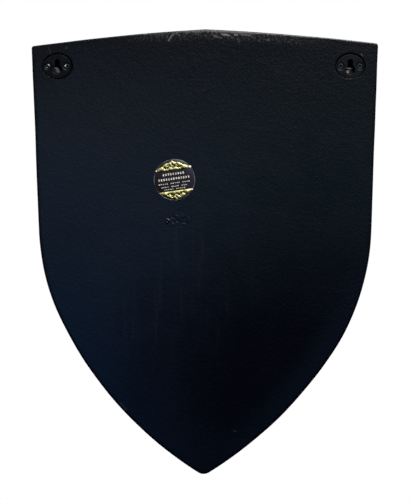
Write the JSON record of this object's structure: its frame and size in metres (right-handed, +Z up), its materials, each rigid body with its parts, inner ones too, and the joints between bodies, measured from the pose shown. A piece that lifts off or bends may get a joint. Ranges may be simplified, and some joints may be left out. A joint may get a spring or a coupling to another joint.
{
  "type": "heater shield wall plaque",
  "caption": "Cast heater-shield wall plaque with a flat painted back, recessed keyhole hanger plates, a round label and a plain bordered front.",
  "frame": {"origin": "on the flat back, on the upright line through the gable's apex, level with the two keyhole slots", "axes": "+Z up, +Y out of the flat back towards the wall, -Y out of the modelled front"},
  "size_m": [0.3275, 0.0224, 0.4207],
  "materials": {
    "painted_casting": "stone-filled resin under a satin blue-black paint",
    "painted_plate": "pressed steel under the same satin blue-black paint",
    "screw_steel": "zinc-plated steel, painted over and rubbed bright in places",
    "printed_label": "charcoal label with gold foil bands and cream strokes"
  },
  "bodies": {
    "root": {"shield_body": "painted_casting", "hanger_plate_left": "painted_plate", "hanger_plate_right": "painted_plate", "hanger_screw_left_outer": "screw_steel", "hanger_screw_left_inner": "screw_steel", "hanger_screw_right_outer": "screw_steel", "hanger_screw_right_inner": "screw_steel", "round_label": "printed_label"}
  },
  "joints": []
}
